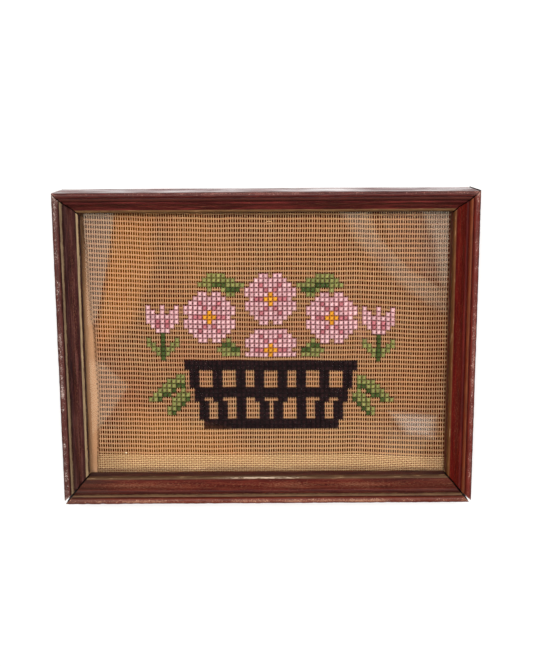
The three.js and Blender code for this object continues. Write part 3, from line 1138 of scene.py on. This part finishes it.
def make_needlepoint(cells):
    """The canvas and its stitches, in the place of the CAD's one solid."""
    stitches = [
        work_stitches(cells, letter, name, wool_finish(name, bright, shaded), seed)
        for seed, (letter, name, bright, shaded) in enumerate(WOOLS, 60)
    ]
    thread = canvas_finish()
    wefts = weave_wefts(thread, cells)
    places = warp_places()
    half = len(places) // 2
    left = weave_warps("canvas_warps_left", places[:half], 0, thread, cells)
    right = weave_warps("canvas_warps_right", places[half:], half, thread, cells)
    snag = pull_thread(thread)
    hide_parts("canvas")


# ---- Card and glass ----

CARD_STEP = 1.6  # between the points of the card's face
CARD_LEFT = -97.4  # where the left rail hides it
CARD_CREASE = 50
GLASS_ARRIS = 0.35
GLASS_CREASE = 20


def make_card(cells):
    low, high = box("backing_card")
    columns, rows = (int((high[axis] - low[axis]) / CARD_STEP) for axis in (0, 1))
    x, y = np.meshgrid(
        np.linspace(low[0], high[0], columns + 1), np.linspace(low[1], high[1], rows + 1))
    rim = np.minimum(np.minimum(x - low[0], high[0] - x), np.minimum(y - low[1], high[1] - y))
    soft = 0.25 * np.exp(-rim / 0.6)
    front = high[2] - soft - 0.03 * (1 + drift(x + 0.7 * y, 51, 17))
    back = low[2] + soft
    # painted shade: brown under the canvas, and nearly black where dark wool is carried across
    # behind it
    wool = np.zeros_like(x)
    for (column, row), letter in cells.items():
        if letter == "B":
            from_x = (x - (DESIGN_LEFT + (column + 0.5) * MESH)) / 3.4
            from_y = (y - (DESIGN_TOP - (row + 0.5) * MESH)) / 2.0
            wool = np.maximum(wool, np.exp(-(from_x ** 2 + from_y ** 2)))
    under = smoothstep(x - cut_edge(y), -0.6, 1.0)
    browned = under * (0.5 + 0.5 * smoothstep(wool, 0.25, 0.7))
    # painted shadow of the left rail, most near the top
    shaded = fading(x - CARD_LEFT, 2.2) * (0.25 + 0.45 * smoothstep(y, 20, 60))
    points = np.concatenate([triples(x, y, z) for z in (front, back)])
    wide = columns + 1
    corner = (np.arange(rows)[:, None] * wide + np.arange(columns)[None, :]).ravel()
    fronts = np.stack([corner, corner + 1, corner + wide + 1, corner + wide], -1)
    backs = fronts[:, ::-1] + x.size
    border = np.concatenate([
        np.arange(wide),
        np.arange(1, rows + 1) * wide + columns,
        rows * wide + np.arange(columns - 1, -1, -1),
        np.arange(rows - 1, 0, -1) * wide,
    ])
    beyond = np.roll(border, -1)
    sides = np.stack([border, border + x.size, beyond + x.size, beyond], -1)
    card = make_piece(
        "backing_card_face", points, np.concatenate([fronts, backs, sides]).tolist(),
        [card_finish()], sharp=CARD_CREASE,
        browned=np.stack([browned, browned * 0]).ravel(),
        shaded=np.stack([shaded, shaded * 0]).ravel(),
    )
    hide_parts("backing_card")


def make_glass():
    """The pane, its edges taken off with a stone."""
    low, high = box("glass")
    middle = (low + high) / 2
    half = (high - low) / 2
    points = []
    for trim, z in (
        (GLASS_ARRIS, low[2]), (0, low[2] + GLASS_ARRIS),
        (0, high[2] - GLASS_ARRIS), (GLASS_ARRIS, high[2]),
    ):
        for side in CORNERS:
            points.append((*(middle[:2] + np.array(side) * (half[:2] - trim)), z))
    pane = make_piece("glass_pane", points, tube_faces(4, 4), [glass_finish()], sharp=GLASS_CREASE)
    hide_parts("glass")


# ---- Stage ----

FLOOR_REACH = 3000
FLOOR_TONE = (0.8, 0.8, 0.8, 1)
FLOOR_RINGS = (0.3, 1.4)  # metres from the middle, between which it comes to glow more
FLOOR_GLOW = (0.3, 0.9)

# Each lamp's place in metres, size, power and tint.
LAMPS = (
    ("window", (-0.05, 0.46, 1.8), (0.8, 0.6), 28, (1.0, 0.98, 0.95)),
    ("fill", (1.3, 0.1, 0.9), (0.8, 0.8), 3, (0.92, 0.95, 1.0)),
)


def add_lamp(name, place, size, power, tint):
    """A rectangle of light that faces the frame's middle."""
    data = bpy.data.lights.new(name, "AREA")
    data.shape = "RECTANGLE"
    data.size, data.size_y = size
    data.energy = power
    data.color = tint
    lamp = add_object(name, data)
    lamp.location = place
    lamp.rotation_euler = (-Vector(place)).to_track_quat("-Z", "Y").to_euler()


def make_floor():
    """A pale floor that a camera sees as white, but for the shadow on it."""
    look = Surface("floor", Base_Color=FLOOR_TONE, Roughness=0.9, Specular_IOR_Level=0.1)
    rays = look.node("LightPath").outputs
    direct = look.math("MAXIMUM", rays["Is Camera Ray"], rays["Is Transmission Ray"])
    glow = look.fit(look.length(look.place()), *FLOOR_RINGS, *FLOOR_GLOW)
    glow = look.math("MAXIMUM", look.times(direct, glow), rays["Is Glossy Ray"])
    look.set("Emission Color", (1, 1, 1, 1))
    look.set("Emission Strength", glow)
    corners = [(x * FLOOR_REACH, y * FLOOR_REACH, 0) for x, y in CORNERS]
    mesh = make_mesh("floor", corners, [(0, 1, 2, 3)], [look.material])
    add_object("floor", mesh)


WORLD_LIGHT = 0.28
WORLD_MIRRORED = 0.03
WORLD_SEEN = 1.0


def make_world():
    """White to a camera, dim in reflections, and a soft light otherwise."""
    world = bpy.data.worlds.new("world")
    bpy.context.scene.world = world
    nodes = Nodes(world)
    rays = nodes.node("LightPath").outputs
    glow = nodes.node("Mix", {0: rays["Is Glossy Ray"], 2: WORLD_LIGHT, 3: WORLD_MIRRORED})
    glow = nodes.node("Mix", {0: rays["Is Camera Ray"], 2: glow.outputs[0], 3: WORLD_SEEN})
    background = nodes.tree.nodes["Background"]
    nodes.feed(background, {"Color": (1, 1, 1, 1), "Strength": glow.outputs[0]})


GLARE_LEVEL = 640  # height of the highest card that the glass mirrors


def mirrored(x, y):
    """Where the camera sees the cards' level mirrored in the point x, y of the glass."""
    eye = np.array(CAMERA_PLACE)
    eye[2] = 2 * GLASS_TOP - eye[2]
    share = (GLARE_LEVEL - eye[2]) / (GLASS_TOP - eye[2])
    return eye[:2] + (np.array((x, y)) - eye[:2]) * share


def add_glare(number, name, strength, tint, core, corners):
    """A card that only reflections show, over the part of the glass inside corners. It glows
    evenly within core times its outline, and fades towards its edge."""
    outline = np.array([mirrored(x, y) for x, y in corners])
    middle = outline.mean(axis=0)
    inside = middle + (outline - middle) * core
    points = [(x, y, GLARE_LEVEL - number) for x, y in (*outline, *inside)]
    count = len(corners)
    faces = [tuple(range(count, 2 * count))]
    for index in range(count):
        after = (index + 1) % count
        faces.append((index, after, after + count, index + count))
    look = Surface("glare_" + name)
    power = look.fit(*look.marks("glow"), 0, 1, 0, strength)
    light = look.node("Emission", {"Color": (*tint, 1), "Strength": power})
    clear = look.node("BsdfTransparent")
    both = {0: light.outputs["Emission"], 1: clear.outputs["BSDF"]}
    look.output(look.node("AddShader", both))
    glow = [0.0] * count + [1.0] * count
    card = add_object(
        "glare_" + name, make_mesh("glare_" + name, points, faces, [look.material], glow=glow))
    for ray in ("camera", "diffuse", "transmission", "volume_scatter", "shadow"):
        setattr(card, "visible_" + ray, False)


PALE = (1.0, 0.97, 0.78)
WARM = (1.0, 0.93, 0.7)
COOL = (1.0, 1.0, 0.9)
AMBER = (1.0, 0.32, 0.02)
ROSY = (1.0, 0.4, 0.4)

# What the glass mirrors: pale walls past the viewer's dark outline, and something amber. Each has
# a name, strength, tint, core and the corners of its patch of the glass.
GLARES = (
    ("upper_left", 1.6, PALE, 0.92,
     ((-105, 78), (-80, 75), (-80, 67), (-83, 51), (-88, 27), (-92, 11), (-108, 5))),
    ("lower_left", 1.5, PALE, 0.8,
     ((-98, -6), (-89, -8), (-82, -15), (-74, -22), (-79, -30), (-87, -42), (-98, -54))),
    ("streak_high", 1.7, WARM, 0.5,
     ((34, 78), (54, 78), (60, 60), (66, 50), (58, 42), (45, 57))),
    ("streak_low", 1.5, WARM, 0.5,
     ((58, 61), (68, 50), (80, 40), (102, 26), (102, 14), (88, 19), (71, 31), (57, 44))),
    ("above_streak", 0.5, PALE, 0.85, ((56, 79), (102, 79), (104, 26), (79, 40), (67, 50))),
    ("corner", 2.0, PALE, 0.4, ((78, 82), (112, 82), (110, 2), (92, 30), (86, 58))),
    ("patch", 3.4, COOL, 0.5, ((64, -36), (94, -39), (93, -54), (75, -51))),
    ("below_patch", 0.8, WARM, 0.6, ((66, -44), (76, -49), (92, -52), (84, -66), (58, -65))),
    ("amber", 1.9, AMBER, 0.7,
     ((-79, 76), (-57, 75), (-56, 46), (-71, 8), (-90, -4), (-91, 10), (-87, 27), (-82, 51))),
    ("amber_band", 1.0, AMBER, 0.4, ((-64, 78), (-36, 78), (0, 45), (-40, 20))),
    ("amber_low", 1.6, AMBER, 0.4, ((-84, -28), (-20, -44), (10, -68), (-84, -66))),
    ("rosy", 1.5, ROSY, 0.5,
     ((34, 32), (46, 26), (56, 10), (55, 0), (49, 2), (45, 14), (33, 25))),
    ("rosy_low", 0.5, ROSY, 0.4, ((46, -40), (66, -38), (68, -62), (46, -62))),
)


def light_stage():
    for lamp in LAMPS:
        add_lamp(*lamp)
    make_world()
    make_floor()
    for number, glare in enumerate(GLARES):
        add_glare(number, *glare)
    bpy.context.scene.view_settings.view_transform = "Standard"


add_camera()
make_rails()
stitched_cells = charted_cells()
make_needlepoint(stitched_cells)
make_card(stitched_cells)
make_glass()
light_stage()
